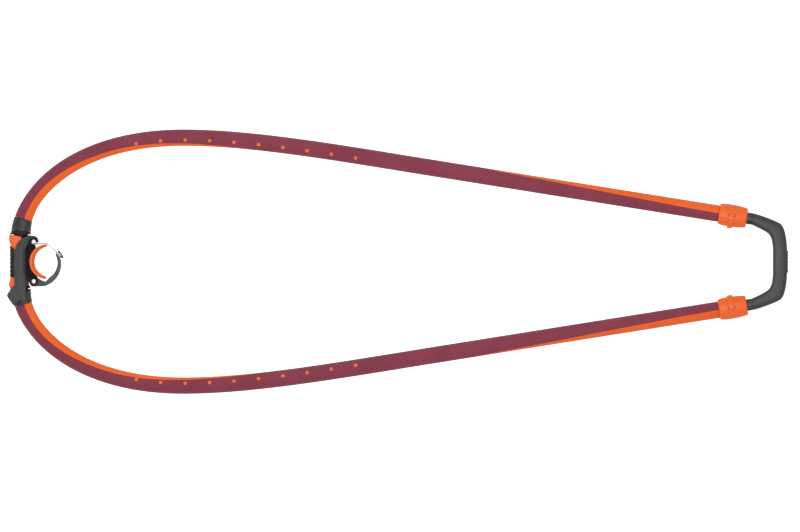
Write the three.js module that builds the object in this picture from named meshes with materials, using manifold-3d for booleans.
// Windsurfing boom (wishbone) with a telescoping tail, in millimetres, +Z up.
//
// The origin is on the mast axis, level with the boom tubes. +X runs from the mast clamp to the tail,
// +Y to the port arm. The two arms mirror each other in the plane y = 0. The shapes below are laid out
// from the axis of the front tube, and the last lines move the whole boom back to the mast axis.

import * as THREE from "three";
import { mergeVertices } from "three/addons/utils/BufferGeometryUtils.js";
import Module from "manifold-3d";

const wasm = await Module();
wasm.setup();

// ---- Driving dimensions ----------------------------------------------------------------------------

const seatGap = 0.3; // between pieces that rest on each other
const slideGap = 0.3; // between the tail legs and the arm tubes, on the radius
const pivotGap = 0.3; // between a pin and what turns on it, on the radius

// Arm centreline, for the port side
const frontStraight = 56; // straight part of the front tube, each side of the middle
const frontPull = 77; // how far the front bend leaves along Y
const widePull = 230; // how far the bend arrives along X at the widest place
const wideX = 332;
const wideY = 253.5;
const midPull = 145;
const straightPull = 195;
const straightX = 849; // from here the arm is straight
const armSlope = 0.1595; // the straight arm closes towards the middle at this rate
const straightY = 190.4;

// Tubes and grips
const tubeRadius = 14.75;
const tubeWall = 2;
const legWall = 2;
const gripWall = 1.95;
const sleeveWall = 4.9;
const ringWall = 5.3;
const tubeSides = 12;
const frontSteps = 17; // each side
const rearSteps = 8; // on the bend

// Places along the front tube, measured from its middle
const headHalfWidth = 55.5;
const ringLength = 7;
const sleeveLength = 25;

// Collars and latches at the ends of the arms, by their distance aft along X
const collarX = 1427;
const collarLength = 58;
const collarFrontRadius = 19.5;
const collarMidRadius = 23;
const collarRearRadius = 20.3;
const armTubeInCollar = 43;
const latchOffset = 25.5; // middle of the latch behind the front of the collar
const latchWidth = 11;
const latchGrooveRadius = 19.4;
const latchKnuckle = 2.3;
const latchThickness = 2.6;
const latchLip = 1.5; // how far its tip stands out
const latchLift = 2.7; // how far the latch stands off its groove when it is unlocked
const latchPinRadius = 1.1;
const lockPinRadius = 1.9;
const lockHoleRadius = 3.4;
const lockPitch = 50;
const lockCount = 11;
const lockPinClear = 0.6; // between the unlocked pin and the tail leg

// Tail
const tailTravel = 500;
const legOverlap = 98; // what stays inside the arm tube with the tail all the way out
const tailJointX = collarX + 69; // where the legs meet the bend
const tailFrontX = tailJointX + 41.6; // inner face of the straight rear
const tailRearX = tailJointX + 71;
const tailHalfHeight = 14;
const tailStraight = 22; // half the straight rear face
const tailBevel = 4;
const spigotLength = 24;
const bumperHalfWidth = 22.5;
const bumperThickness = 1.6;
const sheaveRadius = 9.5;
const sheaveThickness = 8;
const sheaveSpacing = 46;
const sheavePinRadius = 2.5;
const rivetRadius = 2;

// Head: the clamp that holds the boom on the mast
const lowHalfHeight = 23; // around the front tube
const tallHalfHeight = 46; // behind the mast pad
const shellHorn = 4.5; // length of the shell's front corners, past its ends
const shellFront = tubeRadius + 9.45;
const coverWall = 1.6;
const coverPort = 35; // reach of the front cover to either side
const coverStarboard = 33;
const saddleHalfWidth = 24;
const bushWall = 1.5;
const bushPort = 30;
const bushStarboard = 54;
const padInner = 31;
const hingeX = tubeRadius + 11.45; // lever and claw pivots
const hingeY = padInner + 9.2;
const hingePinRadius = 4.9;
const hingePinBore = 4.4;
const mouthLow = -72; // the open side of the lever's eyes
const mouthHigh = -7;
const mastOffset = hingeX + padInner + 0.8; // front tube axis to mast axis
const linerThickness = 3;
const padGap = 0.5; // between the liner and the pad
const padMiddle = 5.4; // thickness of the pad behind the mast
const padCrescent = 4.3; // how far ahead of the mast axis the pad's outer face is centred
const padHalfHeight = 45.5;
const padUpperAngle = 100;
const padLowerAngle = 257;
const earRadius = 8.6;
const earOuter = 40;
const leverHalfHeight = 28;
const flangeThickness = 4.5;
const knuckleRadius = 10.7;
const strapThrow = 7.4; // strap pin to lever pivot
const strapPinAngle = 215;
const strapPinRadius = 1.5;
const strapThickness = 2.2;
const strapHalfWidth = 19;
const hookHalfHeight = 23;
const clawHalfHeight = 28;

// ---- Helpers -----------------------------------------------------------------------------------------

const degrees = (angle) => (angle * Math.PI) / 180;
const vec = (x, y, z = 0) => new THREE.Vector3(x, y, z);

// Turn a geometry right side out, with its shared corners merged.
function closed(geometry) {
  const bare = geometry.clone();
  bare.deleteAttribute("normal");
  bare.deleteAttribute("uv");
  const merged = mergeVertices(bare, 1e-4);
  const place = merged.attributes.position;
  const index = merged.index.array;
  let volume = 0;
  for (let i = 0; i < index.length; i += 3) {
    const [a, b, c] = [0, 1, 2].map((k) => new THREE.Vector3().fromBufferAttribute(place, index[i + k]));
    volume += a.dot(b.cross(c));
  }
  if (volume < 0) {
    for (let i = 0; i < index.length; i += 3) {
      [index[i + 1], index[i + 2]] = [index[i + 2], index[i + 1]];
    }
  }
  return merged;
}

function solid(geometry) {
  const whole = closed(geometry);
  return new wasm.Manifold(
    new wasm.Mesh({
      numProp: 3,
      vertProperties: new Float32Array(whole.attributes.position.array),
      triVerts: new Uint32Array(whole.index.array),
    }),
  );
}

function surface(body) {
  const mesh = body.getMesh();
  const geometry = new THREE.BufferGeometry();
  geometry.setAttribute("position", new THREE.BufferAttribute(new Float32Array(mesh.vertProperties), 3));
  geometry.setIndex(new THREE.BufferAttribute(new Uint32Array(mesh.triVerts), 1));
  geometry.computeVertexNormals();
  return geometry;
}

const join = (...bodies) => bodies.reduce((whole, next) => whole.add(next));
const cut = (body, ...tools) => tools.reduce((whole, tool) => whole.subtract(tool), body);

function circle(radius, hole = 0) {
  const shape = new THREE.Shape();
  shape.absarc(0, 0, radius, 0, 2 * Math.PI, false);
  if (hole > 0) {
    const inside = new THREE.Path();
    inside.absarc(0, 0, hole, 0, 2 * Math.PI, true);
    shape.holes.push(inside);
  }
  return shape;
}

// A line of straight steps with a direction at each of its stations. Pieces that lie inside each other
// share their stations, so that the gap between them stays the same all along.
class Spine extends THREE.Curve {
  constructor(points, tangents) {
    super();
    this.points = points;
    this.tangents = tangents;
  }

  get steps() {
    return this.points.length - 1;
  }

  getPoint(t, target = new THREE.Vector3()) {
    return target.copy(this.points[Math.round(t * this.steps)]);
  }

  getPointAt(u, target) {
    return this.getPoint(u, target);
  }

  getTangentAt(u, target = new THREE.Vector3()) {
    return target.copy(this.tangents[Math.round(u * this.steps)]);
  }

  extended(point, tangent) {
    return new Spine([...this.points, point], [...this.tangents, tangent]);
  }
}

// The spine of a curve between two distances along it.
function spineAlong(curve, steps, from = 0, to = curve.getLength()) {
  const length = curve.getLength();
  const pitch = length / steps;
  const between = Array.from({ length: steps + 1 }, (_, k) => k * pitch).filter(
    (distance) => distance > from + 1 && distance < to - 1,
  );
  const points = [];
  const tangents = [];
  for (const distance of [from, ...between, to]) {
    const whole = Math.min(Math.floor(distance / pitch + 1e-6), steps - 1);
    const share = distance / pitch - whole;
    const [low, high] = [whole / steps, (whole + 1) / steps];
    points.push(curve.getPointAt(low).lerp(curve.getPointAt(high), share));
    tangents.push(curve.getTangentAt(low).lerp(curve.getTangentAt(high), share).normalize());
  }
  return new Spine(points, tangents);
}

// A round section swept along a curve, with a bore unless hole is 0.
function tubeAlong(path, radius, hole, sides = tubeSides) {
  return new THREE.ExtrudeGeometry(circle(radius, hole), {
    steps: path.steps,
    curveSegments: sides / 2,
    bevelEnabled: false,
    extrudePath: path,
  });
}

function rod(from, to, radius, hole = 0, sides = tubeSides) {
  const direction = to.clone().sub(from).normalize();
  return tubeAlong(new Spine([from, to], [direction, direction]), radius, hole, sides);
}

// A flat outline given thickness between two heights.
function prism(shape, low, high, curveSegments = 6) {
  const geometry = new THREE.ExtrudeGeometry(shape, {
    depth: high - low,
    bevelEnabled: false,
    curveSegments,
  });
  return geometry.translate(0, 0, low);
}

function polygon(points) {
  return new THREE.Shape(points.map(([x, y]) => new THREE.Vector2(x, y)));
}

function box(lowX, highX, lowY, highY, lowZ, highZ) {
  const geometry = new THREE.BoxGeometry(highX - lowX, highY - lowY, highZ - lowZ);
  return geometry.translate((lowX + highX) / 2, (lowY + highY) / 2, (lowZ + highZ) / 2);
}

const post = (x, y, radius, low, high, hole = 0, sides = 16) =>
  rod(vec(x, y, low), vec(x, y, high), radius, hole, sides);

const alongTube = (radius, half, hole = 0) => rod(vec(0, -half), vec(0, half), radius, hole, 24);

// ---- The line of the arms ----------------------------------------------------------------------------

const armAngle = Math.atan(armSlope);
const armDirection = (side) => vec(Math.cos(armAngle), -side * Math.sin(armAngle));
const armOutward = (side) => vec(Math.sin(armAngle), side * Math.cos(armAngle));
const armPoint = (side, x) => vec(x, side * (straightY - armSlope * (x - straightX)));

function halfFront(side) {
  const path = new THREE.CurvePath();
  path.add(new THREE.LineCurve3(vec(0, 0), vec(0, side * frontStraight)));
  path.add(
    new THREE.CubicBezierCurve3(
      vec(0, side * frontStraight),
      vec(0, side * (frontStraight + frontPull)),
      vec(wideX - seatGap / 2 - widePull, side * wideY),
      vec(wideX - seatGap / 2, side * wideY),
    ),
  );
  return path;
}

function rearArm(side, endX) {
  const bend = armPoint(side, straightX);
  const curve = new THREE.CubicBezierCurve3(
    vec(wideX + seatGap / 2, side * wideY),
    vec(wideX + seatGap / 2 + midPull, side * wideY),
    bend.clone().addScaledVector(armDirection(side), -straightPull),
    bend,
  );
  return spineAlong(curve, rearSteps).extended(armPoint(side, endX), armDirection(side));
}

// The whole front tube, from the starboard end through the head to the port end.
function frontLine() {
  const port = spineAlong(halfFront(1), frontSteps);
  const starboard = spineAlong(halfFront(-1), frontSteps);
  const points = [...starboard.points].reverse();
  const tangents = starboard.tangents.map((tangent) => tangent.clone().negate()).reverse();
  return new Spine([...points, ...port.points.slice(1)], [...tangents, ...port.tangents.slice(1)]);
}

const sideNames = [
  ["port", 1],
  ["starboard", -1],
];

// ---- Finishes ----------------------------------------------------------------------------------------

const finishes = {
  tube: { color: 0x2b2b2e, roughness: 0.35, metalness: 0.7 },
  leg: { color: 0x3a3b3d, roughness: 0.4, metalness: 0.7 },
  grip: { color: 0x883f52, roughness: 0.9, metalness: 0 },
  orange: { color: 0xfc6723, roughness: 0.45, metalness: 0 },
  pad: { color: 0xf87238, roughness: 0.75, metalness: 0 },
  black: { color: 0x202022, roughness: 0.6, metalness: 0 },
  rubber: { color: 0x18181a, roughness: 0.85, metalness: 0 },
  grey: { color: 0x474944, roughness: 0.5, metalness: 0 },
  claw: { color: 0x505254, roughness: 0.4, metalness: 0.6 },
  steel: { color: 0xb8babd, roughness: 0.3, metalness: 1 },
  strap: { color: 0x2a2b2d, roughness: 0.8, metalness: 0 },
};

const boom = new THREE.Group();

function place(name, shape, finish) {
  const geometry = shape.getMesh ? surface(shape) : closed(shape);
  const mesh = new THREE.Mesh(geometry, new THREE.MeshStandardMaterial(finishes[finish]));
  mesh.name = name;
  boom.add(mesh);
}

// ---- Front tube, its sleeves and the front grips -----------------------------------------------------

const gripInner = tubeRadius + seatGap;
const gripOuter = gripInner + gripWall;
const ringStart = headHalfWidth + seatGap;
const sleeveStart = ringStart + ringLength + seatGap;
const gripStart = sleeveStart + sleeveLength + seatGap;

place("front_tube", tubeAlong(frontLine(), tubeRadius, tubeRadius - tubeWall), "tube");

for (const [label, side] of sideNames) {
  const half = halfFront(side);
  const ring = spineAlong(half, frontSteps, ringStart, ringStart + ringLength);
  const sleeve = spineAlong(half, frontSteps, sleeveStart, sleeveStart + sleeveLength);
  const grip = spineAlong(half, frontSteps, gripStart);
  place(`sleeve_ring_${label}`, tubeAlong(ring, gripInner + ringWall, gripInner), "rubber");
  place(`sleeve_${label}`, tubeAlong(sleeve, gripInner + sleeveWall, gripInner), "black");
  place(`grip_front_${label}`, tubeAlong(grip, gripOuter, gripInner), "grip");
}

// ---- Arms aft of their widest place ------------------------------------------------------------------

const collarMiddleX = collarX + latchOffset;
const legRadius = tubeRadius - tubeWall - slideGap - 0.45; // the facets of the tube reach inwards
const legBore = legRadius - legWall;

// A revolved ring about the arm's axis. Its outline gives [distance along the arm, radius].
function turned(side, startX, outline, sides = 16) {
  const points = outline.map(([along, radius]) => new THREE.Vector2(radius, along));
  const geometry = new THREE.LatheGeometry([...points, points[0]], sides);
  const turn = new THREE.Quaternion().setFromUnitVectors(vec(0, 1), armDirection(side));
  const start = armPoint(side, startX);
  return geometry.applyQuaternion(turn).translate(start.x, start.y, start.z);
}

// A point given by distance aft of the collar's front, distance outward and height.
function atCollar(side, along, outward, height) {
  return armPoint(side, collarX)
    .addScaledVector(armDirection(side), along)
    .addScaledVector(armOutward(side), outward)
    .add(vec(0, 0, height));
}

const latchAlong = latchOffset / Math.cos(armAngle);
const hingeHeight = latchGrooveRadius + seatGap + latchKnuckle;

// Axes of a piece laid out across an arm: x outward, y up, z along the arm.
function acrossArm(side, along) {
  const outward = armOutward(side);
  const basis = new THREE.Matrix4().makeBasis(outward, vec(0, 0, 1), outward.clone().cross(vec(0, 0, 1)));
  return new THREE.Matrix4().makeTranslation(...atCollar(side, along, 0, 0)).multiply(basis);
}

// The window on the inner side of the collar and the arm tube that the lock pin swings through.
function lockOpening(side) {
  const half = lockPinRadius + 1;
  const window = box(-collarMidRadius - 6, -legRadius + 3, -half, hingeHeight / 2 - 1, -half, half);
  return solid(window.applyMatrix4(acrossArm(side, latchAlong)));
}

function makeCollar(label, side) {
  const bore = tubeRadius / Math.cos(Math.PI / 16) + 0.011; // its 16 flats clear the arm tube
  const rearBore = legRadius + slideGap;
  const shoulder = armTubeInCollar + seatGap;
  const outline = [
    [0, bore],
    [0, collarFrontRadius],
    [collarLength * 0.09, collarMidRadius - 1],
    [collarLength * 0.3, collarMidRadius],
    [collarLength * 0.66, collarMidRadius - 0.4],
    [collarLength * 0.93, collarRearRadius],
    [collarLength, collarRearRadius - 2],
    [collarLength, rearBore],
    [shoulder, rearBore],
    [shoulder, bore],
  ];
  const grooveHalf = latchWidth / 2 + seatGap;
  const groove = solid(
    turned(side, collarX, [
      [latchAlong - grooveHalf, latchGrooveRadius],
      [latchAlong - grooveHalf, collarMidRadius + 5],
      [latchAlong + grooveHalf, collarMidRadius + 5],
      [latchAlong + grooveHalf, latchGrooveRadius],
    ]),
  );
  const inner = atCollar(side, latchAlong, -collarMidRadius, 0);
  const reach = collarMidRadius + 9;
  const innerSide = box(inner.x - 40, inner.x + 40, inner.y - reach, inner.y + reach, -9, 30);
  const axisLine = solid(
    rod(
      atCollar(side, latchAlong - latchWidth / 2 - 4, 0, hingeHeight),
      atCollar(side, latchAlong + latchWidth / 2 + 4, 0, hingeHeight),
      latchPinRadius + pivotGap,
      0,
      8,
    ),
  );
  const whole = solid(turned(side, collarX, outline));
  const body = cut(whole, groove.intersect(solid(innerSide)), axisLine, lockOpening(side));
  place(`collar_${label}`, body, "orange");

  place(
    `latch_hinge_pin_${label}`,
    rod(
      atCollar(side, latchAlong - latchWidth / 2 - 3.6, 0, hingeHeight),
      atCollar(side, latchAlong + latchWidth / 2 + 3.6, 0, hingeHeight),
      latchPinRadius,
      0,
      8,
    ),
    "steel",
  );
}

// The latch is a curved finger that hinges on top of the collar and reaches down its inner side.
function makeLatch(label, side) {
  const inner = latchGrooveRadius + seatGap;
  const outer = inner + latchThickness;
  const swing = latchLift / hingeHeight;
  const section = new THREE.Shape();
  section.absarc(0, 0, outer, degrees(90), degrees(196), false);
  const lip = outer + latchLip;
  section.lineTo(Math.cos(degrees(199)) * lip, Math.sin(degrees(199)) * lip);
  section.absarc(0, 0, inner, degrees(203), degrees(90), true);
  const finger = prism(section, -latchWidth / 2, latchWidth / 2, 7);
  const knuckle = rod(
    vec(0, hingeHeight, -latchWidth / 2),
    vec(0, hingeHeight, latchWidth / 2),
    latchKnuckle,
    0,
    10,
  );
  const pinHole = rod(
    vec(0, hingeHeight, -latchWidth),
    vec(0, hingeHeight, latchWidth),
    latchPinRadius + pivotGap,
    0,
    8,
  );
  const shape = join(solid(finger), solid(knuckle)).subtract(solid(pinHole));

  // The unlocked latch is swung a little about its hinge.
  const lift = new THREE.Matrix4()
    .makeTranslation(0, hingeHeight, 0)
    .multiply(new THREE.Matrix4().makeRotationZ(-swing))
    .multiply(new THREE.Matrix4().makeTranslation(0, -hingeHeight, 0));
  const set = acrossArm(side, latchAlong).multiply(lift);
  place(`latch_${label}`, surface(shape).applyMatrix4(set), "orange");

  const lockedTip = legRadius + lockPinClear - latchLift;
  const pin = rod(vec(-lockedTip, 0), vec(-inner + seatGap / 2, 0), lockPinRadius, 0, 10);
  place(`lock_pin_${label}`, pin.applyMatrix4(set), "steel");
}

function makeArm(label, side) {
  const tubeEnd = collarX + armTubeInCollar * Math.cos(armAngle);
  const line = rearArm(side, tubeEnd);
  const tube = solid(tubeAlong(line, tubeRadius, tubeRadius - tubeWall));
  place(`arm_tube_${label}`, cut(tube, lockOpening(side)), "tube");
  const gripLine = rearArm(side, collarX - seatGap);
  place(`grip_rear_${label}`, tubeAlong(gripLine, gripOuter, gripInner), "grip");
  makeCollar(label, side);
  makeLatch(label, side);
  makeCleat(label, side);
}

// The outhaul cleat hangs under the grip, just ahead of the collar.
function makeCleat(label, side) {
  const length = 44;
  const section = polygon([
    [-9, -gripOuter - seatGap],
    [-9, -gripOuter - 15],
    [-5, -gripOuter - 15],
    [-1.2, -gripOuter - 5],
    [1.2, -gripOuter - 5],
    [5, -gripOuter - 15],
    [9, -gripOuter - 15],
    [9, -gripOuter - seatGap],
  ]);
  const body = prism(section, -length / 2, length / 2);
  place(`cleat_${label}`, body.applyMatrix4(acrossArm(side, -length / 2 - 4)), "black");
}

for (const [label, side] of sideNames) {
  makeArm(label, side);
}

// ---- Tail --------------------------------------------------------------------------------------------

const legFrontX = collarX + armTubeInCollar - legOverlap - tailTravel * Math.cos(armAngle);

function rivet(side, along, turn) {
  const lean = degrees(turn);
  const out = (radius) => atCollar(side, along, Math.sin(lean) * radius, Math.cos(lean) * radius);
  return (radius, top, bottom) => rod(out(bottom), out(top), radius, 0, 8);
}

const jointAlong = (tailJointX - collarX) / Math.cos(armAngle);
const rivets = [
  ["inner", jointAlong - 9, -4],
  ["outer", jointAlong - 4.5, 30],
];

function makeLeg(label, side) {
  const end = armPoint(side, tailJointX).addScaledVector(armDirection(side), -seatGap);
  let leg = solid(rod(armPoint(side, legFrontX), end, legRadius, legBore));
  for (let step = 0; step < lockCount; step += 1) {
    const along = latchAlong - step * lockPitch;
    leg = leg.subtract(
      solid(
        rod(
          atCollar(side, along, -legBore + 1, 0),
          atCollar(side, along, -legRadius - 1, 0),
          lockHoleRadius,
          0,
          6,
        ),
      ),
    );
  }
  for (const [name, along, turn] of rivets) {
    const at = rivet(side, along, turn);
    leg = leg.subtract(solid(at(rivetRadius + seatGap, legRadius + 1, legBore - 1)));
    place(`tail_rivet_${name}_${label}`, at(rivetRadius, legRadius + 0.6, legBore - 3), "steel");
  }
  place(`tail_leg_${label}`, leg, "leg");

  const front = armPoint(side, legFrontX);
  const aft = armDirection(side);
  const onLeg = (distance) => front.clone().addScaledVector(aft, distance);
  const head = rod(onLeg(-4), onLeg(-seatGap), legRadius);
  const stem = rod(onLeg(-2), onLeg(16), legBore - seatGap);
  place(`leg_plug_${label}`, join(solid(head), solid(stem)), "black");
}

// The bend seen from above: each side has a full outer corner and a softer inner one.
function tailOutline() {
  const joint = (side, reach) => armPoint(side, tailJointX).addScaledVector(armOutward(side), reach);
  const outer = joint(1, legRadius);
  const inner = joint(1, -legRadius);
  const outerCorner = [tailRearX - 14, outer.y - 21];
  const innerCorner = [tailFrontX - 9.6, inner.y - 17.8];
  const shape = new THREE.Shape();
  const curve = (from, to, end) => shape.bezierCurveTo(...from, ...to, ...end);
  const mirrored = ([x, y]) => [x, -y];
  const outerPulls = [
    [outer.x + 12, outer.y - 2.6],
    [outer.x + 43, outer.y - 13.6],
    [tailRearX - 5.5, outerCorner[1] - 5.5],
    [tailRearX - 0.7, outerCorner[1] - 28],
  ];
  const innerPulls = [
    [inner.x + 11, inner.y - 4.8],
    [inner.x + 25, inner.y - 11.3],
    [tailFrontX - 3.1, innerCorner[1] - 6.5],
    [tailFrontX - 0.6, innerCorner[1] - 17.5],
  ];
  shape.moveTo(inner.x, inner.y);
  shape.lineTo(outer.x, outer.y);
  curve(outerPulls[0], outerPulls[1], outerCorner);
  curve(outerPulls[2], outerPulls[3], [tailRearX, tailStraight]);
  shape.lineTo(tailRearX, -tailStraight);
  curve(mirrored(outerPulls[3]), mirrored(outerPulls[2]), mirrored(outerCorner));
  curve(mirrored(outerPulls[1]), mirrored(outerPulls[0]), [outer.x, -outer.y]);
  shape.lineTo(inner.x, -inner.y);
  curve(mirrored(innerPulls[0]), mirrored(innerPulls[1]), mirrored(innerCorner));
  curve(mirrored(innerPulls[2]), mirrored(innerPulls[3]), [tailFrontX, -tailStraight]);
  shape.lineTo(tailFrontX, tailStraight);
  curve(innerPulls[3], innerPulls[2], innerCorner);
  curve(innerPulls[1], innerPulls[0], [inner.x, inner.y]);
  return shape;
}

function makeTail() {
  const flatHalf = tailHalfHeight - tailBevel;
  const bend = new THREE.ExtrudeGeometry(tailOutline(), {
    depth: 2 * flatHalf,
    bevelEnabled: true,
    bevelThickness: tailBevel,
    bevelSize: tailBevel,
    bevelOffset: -tailBevel,
    bevelSegments: 2,
    curveSegments: 6,
  }).translate(0, 0, -flatHalf);
  const slotX = tailRearX - 7;
  const sheaveX = slotX - sheaveRadius - 0.5;
  const slotHalf = sheaveThickness / 2 + seatGap;
  const slotReach = sheaveSpacing / 2 + 14;
  const slot = box(tailFrontX - 10, slotX, -slotReach, slotReach, -slotHalf, slotHalf);
  let body = solid(bend).subtract(solid(slot));
  for (const [label, side] of sideNames) {
    const joint = armPoint(side, tailJointX);
    const back = armDirection(side);
    const spigot = rod(
      joint.clone().addScaledVector(back, -spigotLength),
      joint.clone().addScaledVector(back, 8),
      legBore - seatGap,
    );
    body = body.add(solid(spigot));
    for (const [, along, turn] of rivets) {
      const hole = rivet(side, along, turn)(rivetRadius + seatGap, legRadius + 1, legBore - 3.3);
      body = body.subtract(solid(hole));
    }
    const y = (side * sheaveSpacing) / 2;
    const pinHalf = tailHalfHeight - tailBevel;
    const pinRoom = pinHalf + seatGap;
    body = body.subtract(solid(post(sheaveX, y, sheavePinRadius + seatGap, -pinRoom, pinRoom)));
    place(`sheave_pin_${label}`, post(sheaveX, y, sheavePinRadius, -pinHalf, pinHalf, 0, 10), "steel");
    place(`sheave_${label}`, sheave(sheaveX, y), "black");
    makeLeg(label, side);
  }
  place("tail_bend", body, "black");

  // Ribbed rubber pad on the rear face
  const back = tailRearX + seatGap;
  const padHalf = tailHalfHeight - tailBevel - 1;
  const half = bumperHalfWidth;
  const ribCount = 7;
  const ribPitch = (2 * half) / ribCount;
  let pad = solid(box(back, back + bumperThickness / 2, -half, half, -padHalf, padHalf));
  for (let rib = 0; rib < ribCount; rib += 1) {
    const y = -half + (rib + 0.5) * ribPitch;
    const low = y - ribPitch * 0.3;
    pad = pad.add(solid(box(back, back + bumperThickness, low, low + ribPitch * 0.6, -padHalf, padHalf)));
  }
  place("tail_bumper", pad, "rubber");
}

function sheave(x, y) {
  const half = sheaveThickness / 2;
  const bore = sheavePinRadius + pivotGap;
  const outline = [
    [bore, -half],
    [sheaveRadius, -half],
    [sheaveRadius, -half + 1.2],
    [sheaveRadius - 3, 0],
    [sheaveRadius, half - 1.2],
    [sheaveRadius, half],
    [bore, half],
    [bore, -half],
  ].map(([radius, height]) => new THREE.Vector2(radius, height));
  return new THREE.LatheGeometry(outline, 16).rotateX(Math.PI / 2).translate(x, y, 0);
}

makeTail();

// ---- Head --------------------------------------------------------------------------------------------

const bushRadius = tubeRadius + seatGap + bushWall;
const bodyBore = bushRadius + seatGap;
const parting = 1; // the shell and the saddle part just behind the tube's axis
const saddleEnd = headHalfWidth - 5; // from here to the rings the saddle is round
const lipRadius = gripInner + ringWall - 1.3;
const lipEnd = headHalfWidth - 1.5; // clear of the rings, which lean with the tube
const saddleFront = tubeRadius - 4.05; // front face of the tall block
const padSeat = padInner + linerThickness;
const padBack = padSeat + padGap; // inner face of the pad
const padOuter = padBack + padMiddle - padCrescent; // radius of the pad's outer face
const padCentreX = mastOffset - padCrescent;

// A rounded front, the same all along the tube.
function roundedFront(front, halfHeight, round) {
  const side = new THREE.Shape();
  const reach = headHalfWidth + shellHorn + 1;
  side.moveTo(parting, -halfHeight);
  side.lineTo(-front + round, -halfHeight);
  side.quadraticCurveTo(-front, -halfHeight, -front, -halfHeight + round);
  side.lineTo(-front, halfHeight - round);
  side.quadraticCurveTo(-front, halfHeight, -front + round, halfHeight);
  side.lineTo(parting, halfHeight);
  return solid(prism(side, -reach, reach).rotateX(Math.PI / 2));
}

// The rubber cover on the front of the shell, seen from above, grown by a clearance.
function coverPlan(grow) {
  const front = shellFront + 1;
  const outline = polygon([
    [-front, coverPort + grow],
    [-tubeRadius + 1.45 + grow, coverPort - 9 + grow],
    [-tubeRadius + 1.45 + grow, -coverStarboard + 1 - grow],
    [-front, -coverStarboard - grow],
  ]);
  return solid(prism(outline, -lowHalfHeight - 1, lowHalfHeight + 1));
}

function makeShell() {
  const ends = headHalfWidth + shellHorn;
  const ringClear = gripInner + ringWall + 0.5;
  const top = polygon([
    [parting, saddleEnd],
    [-ringClear, headHalfWidth],
    [-ringClear, ends],
    [-ringClear - 1, ends],
    [-shellFront, headHalfWidth - 5],
    [-shellFront, headHalfWidth - 12.4],
    [-shellFront + 3.2, coverPort],
    [-shellFront + 3.2, -coverStarboard],
    [-shellFront, -headHalfWidth + 11.2],
    [-shellFront, -headHalfWidth + 5.5],
    [-ringClear - 1, -headHalfWidth + 0.5],
    [-ringClear - 1, -ends + 2],
    [-ringClear, -ends + 2],
    [-ringClear, -headHalfWidth],
    [parting, -saddleEnd],
  ]);
  const round = 9;
  const coverFront = shellFront - 2.6;
  const recess = coverWall + seatGap;
  const plan = solid(prism(top, -lowHalfHeight, lowHalfHeight));
  const core = roundedFront(coverFront - recess, lowHalfHeight - recess, round - recess);
  const bore = solid(alongTube(bodyBore, headHalfWidth + 1));
  const body = plan.intersect(roundedFront(shellFront, lowHalfHeight, round));
  place("head_shell", cut(body, coverPlan(seatGap).subtract(core), bore), "orange");

  // A skin with a ribbed front
  const skin = roundedFront(coverFront, lowHalfHeight, round).subtract(
    roundedFront(coverFront - coverWall, lowHalfHeight - coverWall, round - coverWall),
  );
  const behind = solid(box(-tubeRadius + 1.45, 20, -80, 80, -40, 40));
  let cover = coverPlan(0).intersect(skin).subtract(behind);
  const ribCount = 8;
  const ribSpan = coverPort + coverStarboard - 4;
  const ribPitch = ribSpan / ribCount;
  const ribHalf = lowHalfHeight - round - 2;
  for (let rib = 0; rib < ribCount; rib += 1) {
    const low = -coverStarboard + 2 + (rib + 0.22) * ribPitch;
    const high = low + ribPitch * 0.56;
    cover = cover.add(solid(box(-coverFront - 1, -coverFront + 0.5, low, high, -ribHalf, ribHalf)));
  }
  place("front_bumper", cover, "rubber");
  const bush = rod(vec(0, -bushStarboard), vec(0, bushPort), bushRadius, tubeRadius + seatGap, 24);
  place("head_bush", bush, "orange");
}

// The eyes of the lever's hinge are hooks, open towards the tail.
function eyeMouth() {
  const edge = (angle) => [
    hingeX + 24 * Math.cos(degrees(angle)),
    hingeY + 24 * Math.sin(degrees(angle)),
  ];
  return solid(prism(polygon([[hingeX, hingeY], edge(mouthLow), edge(-40), edge(mouthHigh)]), -60, 60));
}

function ear(side, low, high) {
  const shape = new THREE.Shape();
  const left = degrees(165);
  shape.moveTo(saddleFront, side * 12);
  shape.lineTo(hingeX + earRadius * Math.cos(left), side * (hingeY + earRadius * Math.sin(left)));
  shape.absarc(hingeX, side * hingeY, earRadius, side * left, 0, side > 0);
  shape.lineTo(hingeX + earRadius - 3, side * (hingeY - 14));
  shape.lineTo(hingeX, side * 12);
  return solid(prism(shape, low, high));
}

function makeSaddle() {
  const ends = saddleEnd;
  const half = saddleHalfWidth;
  const back = hingeX + 5.8;
  const low = box(parting + seatGap, saddleFront + 0.4, -ends, ends, -lowHalfHeight, lowHalfHeight);
  const tall = box(saddleFront, back, -half, half, -tallHalfHeight, tallHalfHeight);
  const middle = box(saddleFront, hingeX - 6.7, -half, half, -lowHalfHeight, lowHalfHeight);
  let body = join(solid(low), solid(tall), solid(middle));
  const rear = solid(box(parting + seatGap, 60, -100, 100, -60, 60));
  for (const side of [1, -1]) {
    const lip = rod(vec(0, side * (ends - 1)), vec(0, side * lipEnd), lipRadius, 0, 24);
    body = join(
      body,
      solid(lip).intersect(rear),
      ear(side, leverHalfHeight + seatGap, earOuter),
      ear(side, -earOuter, -leverHalfHeight - seatGap),
    );
  }
  const padRoom = solid(post(padCentreX, 0, padOuter + seatGap, -60, 60, 0, 48));
  body = cut(body, solid(alongTube(bodyBore, headHalfWidth + 1)), padRoom, eyeMouth());
  for (const side of [1, -1]) {
    body = body.subtract(solid(post(hingeX, side * hingeY, hingePinRadius + seatGap, -60, 60)));
  }
  place("head_saddle", body, "black");
}

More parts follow.
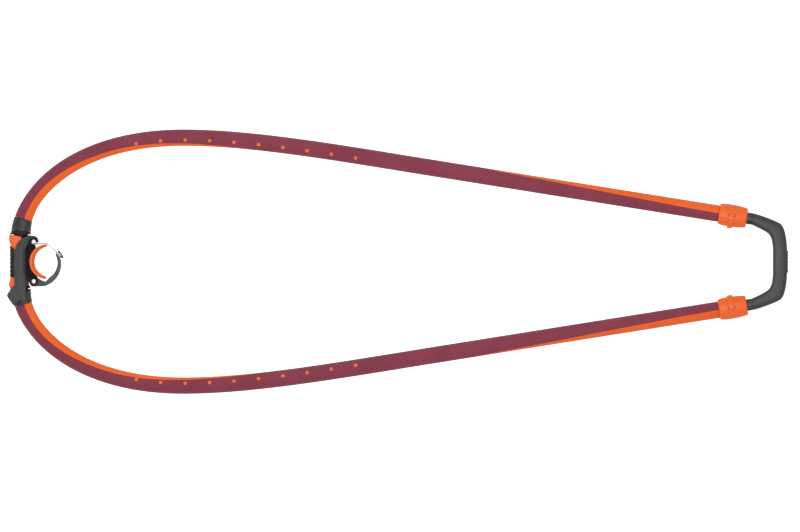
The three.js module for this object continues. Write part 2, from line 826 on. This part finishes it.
// The pad is a crescent: its outer face is centred a little ahead of the mast's axis.
function makePads() {
  const [from, to] = [padUpperAngle, padLowerAngle].map(degrees);
  const outerTurn = (angle) => {
    const reach =
      -padCrescent * Math.cos(angle) +
      Math.sqrt(padOuter ** 2 - (padCrescent * Math.sin(angle)) ** 2);
    const turn = Math.atan2(reach * Math.sin(angle), reach * Math.cos(angle) + padCrescent);
    return turn < 0 ? turn + 2 * Math.PI : turn;
  };
  const pad = new THREE.Shape();
  pad.absarc(padCentreX, 0, padOuter, outerTurn(from), outerTurn(to), false);
  pad.absarc(mastOffset, 0, padBack, to, from, true);
  place("mast_pad", prism(pad, -padHalfHeight, padHalfHeight, 12), "pad");
  const liner = new THREE.Shape();
  liner.absarc(mastOffset, 0, padSeat, from, to, false);
  liner.absarc(mastOffset, 0, padInner, to, from, true);
  place("pad_liner", prism(liner, -padHalfHeight, padHalfHeight, 12), "pad");
}

// The strap pin is carried by the lever, a little past the dead point of the pull.
const strapPinX = hingeX + strapThrow * Math.cos(degrees(strapPinAngle));
const strapPinY = hingeY + strapThrow * Math.sin(degrees(strapPinAngle));

// The lever pivots on two short hollow pins, so the strap can cross between them.
function makeLever() {
  const flangeInner = leverHalfHeight - flangeThickness;
  for (const [label, up] of [
    ["top", 1],
    ["bottom", -1],
  ]) {
    const [low, high] = [up * flangeInner, up * earOuter].sort((a, b) => a - b);
    const pin = post(hingeX, hingeY, hingePinRadius, low, high, hingePinBore, 12);
    place(`lever_pin_${label}`, pin, "steel");
  }

  // The finger grip lies in front of the tube, the hinge behind it.
  const front = -tubeRadius;
  const back = hingeX - 15.8;
  const plate = new THREE.Shape();
  plate.moveTo(hingeX + 9.4, hingeY - 1);
  const crown = hingeY + 13.1;
  plate.bezierCurveTo(hingeX + 10.4, hingeY + 6.5, hingeX + 5.5, crown, hingeX - 2.2, crown);
  plate.bezierCurveTo(hingeX - 10, crown, hingeX - 18, crown - 1.8, hingeX - 24.2, hingeY + 6.3);
  plate.bezierCurveTo(front + 7.8, 39, front + 1.8, 30, front + 1.8, 14);
  plate.lineTo(front + 1.8, -48);
  plate.bezierCurveTo(front - 0.2, -54, front - 9.2, -56, front - 13, -67);
  plate.bezierCurveTo(front - 14.6, -74, front - 8.2, -87, front - 1.2, -89);
  plate.bezierCurveTo(front + 3.8, -89, front + 6.8, -85, front + 11.8, -79);
  plate.lineTo(back, -76);
  plate.lineTo(back, 24);
  plate.quadraticCurveTo(back + 1.1, 33, hingeX - 8.7, 33.6);
  plate.absarc(hingeX, hingeY, knuckleRadius, degrees(218), degrees(300), false);
  plate.lineTo(hingeX, hingeY);

  const web = new THREE.Shape();
  web.moveTo(front - 6.4, -58);
  web.bezierCurveTo(front - 10.2, -60, front - 12.2, -63, front - 13, -67);
  web.bezierCurveTo(front - 14.6, -74, front - 10.2, -81, front - 6.4, -84.5);
  const top = solid(prism(plate, flangeInner, leverHalfHeight));
  const bottom = solid(prism(plate, -leverHalfHeight, -flangeInner));
  const grip = solid(prism(web, -leverHalfHeight, leverHalfHeight));
  const pivot = solid(post(hingeX, hingeY, hingePinRadius + pivotGap, -60, 60));
  const pinBore = solid(post(strapPinX, strapPinY, strapPinRadius + seatGap, -60, 60, 0, 10));
  place("lever", cut(join(top, bottom, grip), pivot, pinBore, eyeMouth()), "grey");
  const pinHalf = leverHalfHeight - seatGap;
  place("strap_pin", post(strapPinX, strapPinY, strapPinRadius, -pinHalf, pinHalf, 0, 10), "steel");
}

// A flat band of even thickness whose middle runs along a smooth line through the given points.
function band(points, thickness, halfWidth, steps) {
  const line = new THREE.SplineCurve(points.map(([x, y]) => new THREE.Vector2(x, y)));
  const sides = [1, -1].map((sign) =>
    Array.from({ length: steps + 1 }, (_, step) => {
      const along = line.getTangentAt(step / steps);
      const across = new THREE.Vector2(-along.y, along.x).multiplyScalar((sign * thickness) / 2);
      return line.getPointAt(step / steps).add(across);
    }),
  );
  return solid(prism(new THREE.Shape([...sides[0], ...sides[1].reverse()]), -halfWidth, halfWidth));
}

// The strap runs from its pin in the lever, over the upper end of the mast pad, and outside the nose of
// the claw. A clip folded round its end makes a finger tab.
function makeStrap() {
  const overPad = padOuter + seatGap + strapThickness / 2;
  const route = [
    [strapPinX, strapPinY],
    [mastOffset - 12, overPad + 0.2],
    [mastOffset - 6.3, overPad],
    [mastOffset - 0.8, overPad - 3.2],
    [mastOffset + 3.6, 30.1],
    [mastOffset + 8.1, 26.2],
    [mastOffset + 11.9, 22.9],
    [mastOffset + 18.6, 15.2],
    [mastOffset + 22.6, 10.5],
  ];
  const eye = strapPinRadius + pivotGap;
  const loop = post(strapPinX, strapPinY, eye + strapThickness, -strapHalfWidth, strapHalfWidth, 0, 12);
  const bore = post(strapPinX, strapPinY, eye, -60, 60, 0, 10);
  const strap = join(band(route, strapThickness, strapHalfWidth, 18), solid(loop));
  place("strap", strap.subtract(solid(bore)), "strap");

  const tab = polygon([
    [mastOffset + 17.2, 20.9],
    [mastOffset + 24.6, 12],
    [mastOffset + 21.9, 9.35],
    [mastOffset + 22.9, 8.1],
    [mastOffset + 27.4, 7],
    [mastOffset + 29, 8.6],
    [mastOffset + 26.2, 14.4],
    [mastOffset + 21.8, 20.6],
    [mastOffset + 18.6, 23],
  ]);
  place("strap_hook", prism(tab, -hookHalfHeight, hookHalfHeight), "grey");
}

function makeClaw() {
  const shape = new THREE.Shape();
  const eye = knuckleRadius;
  const eyeReach = eye - 2.1; // towards the bush it is slimmer
  const y = -hingeY;
  const middle = mastOffset - 17.5;
  shape.moveTo(hingeX, y - eye);
  shape.lineTo(mastOffset - 10, y - 10);
  shape.bezierCurveTo(mastOffset + 2, -47, mastOffset + 22, -34, mastOffset + 24, -7);
  shape.quadraticCurveTo(mastOffset + 24, 1, mastOffset + 22.2, 6.4);
  shape.lineTo(mastOffset + 20.9, 9);
  shape.lineTo(mastOffset + 17, 13.8);
  shape.lineTo(mastOffset + 13.5, 17.7);
  shape.lineTo(mastOffset + 12.8, 17.4);
  shape.absarc(middle, -4, 36, degrees(26.5), degrees(-56), true);
  shape.lineTo(mastOffset - 3.5, y + 3);
  shape.lineTo(mastOffset - 7.5, y - 0.8);
  shape.lineTo(mastOffset - 16, y + 1.6);
  shape.lineTo(hingeX + eyeReach * Math.cos(degrees(48)), y + eye * Math.sin(degrees(48)));
  shape.absellipse(hingeX, y, eyeReach, eye, degrees(48), degrees(270), false);
  const bore = solid(post(hingeX, y, hingePinRadius + pivotGap, -60, 60));
  const claw = solid(prism(shape, -clawHalfHeight, clawHalfHeight, 10));
  place("claw", claw.subtract(bore), "claw");
  const pin = post(hingeX, y, hingePinRadius, -earOuter, earOuter, hingePinBore, 12);
  place("claw_pin", pin, "steel");
}

makeShell();
makeSaddle();
makePads();
makeLever();
makeStrap();
makeClaw();

boom.position.x = -mastOffset;

export default boom;
